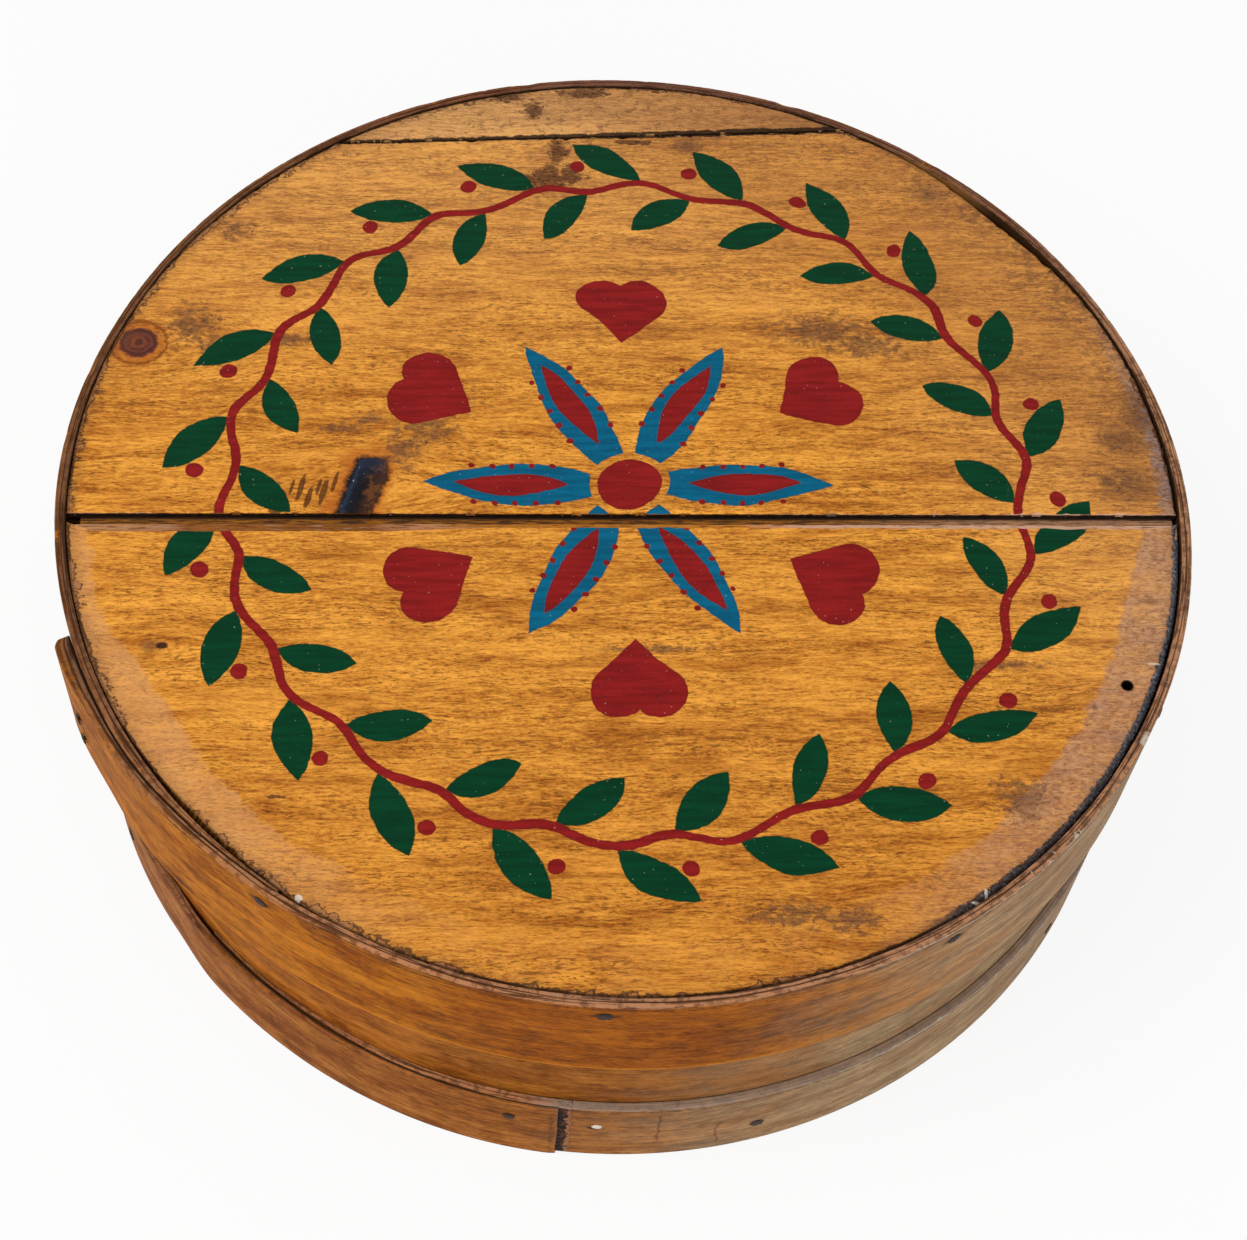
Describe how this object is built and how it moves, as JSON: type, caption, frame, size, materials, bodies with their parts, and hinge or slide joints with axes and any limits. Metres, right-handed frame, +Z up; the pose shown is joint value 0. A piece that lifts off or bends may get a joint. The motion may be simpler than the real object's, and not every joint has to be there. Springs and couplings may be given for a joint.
{
  "type": "wooden hat box",
  "caption": "Round bentwood hat box with a deep lift-off lid: boarded top and bottom, bent and lapped bands for rim, wall and bottom hoop, held by nails and tacks.",
  "frame": {"origin": "on the surface that the box stands on, under its centre", "axes": "+Z up, along the lid's lift; +X along the boards; -Y is the front, where the hoop's lap ends"},
  "size_m": [0.43, 0.4304, 0.144],
  "materials": {
    "lid_boards": "honey pine under old varnish, painted on top, worn pale at the edge",
    "rim_band": "orange-brown bent splint under old varnish",
    "wall_band": "brown bent splint, darkened",
    "hoop": "brown bent splint, worn",
    "bottom_boards": "bare pine, darkened with age",
    "iron": "dark rusty iron"
  },
  "bodies": {
    "box": {"wall_band": "wall_band", "wall_lap_tacks": "iron", "bottom_board_front": "bottom_boards", "bottom_board_middle": "bottom_boards", "bottom_board_back": "bottom_boards", "bottom_hoop": "hoop", "hoop_lap_tacks": "iron", "bottom_nails": "iron"},
    "lid": {"lid_board_front": "lid_boards", "lid_board_middle": "lid_boards", "lid_board_back": "lid_boards", "lid_rim_band": "rim_band", "lid_rim_nails": "iron", "lid_lap_tacks": "iron"}
  },
  "joints": [
    {"name": "lid_lift", "type": "slide", "parent": "box", "child": "lid", "axis": [0, 0, 1], "range_m": [0, 0.18]}
  ]
}
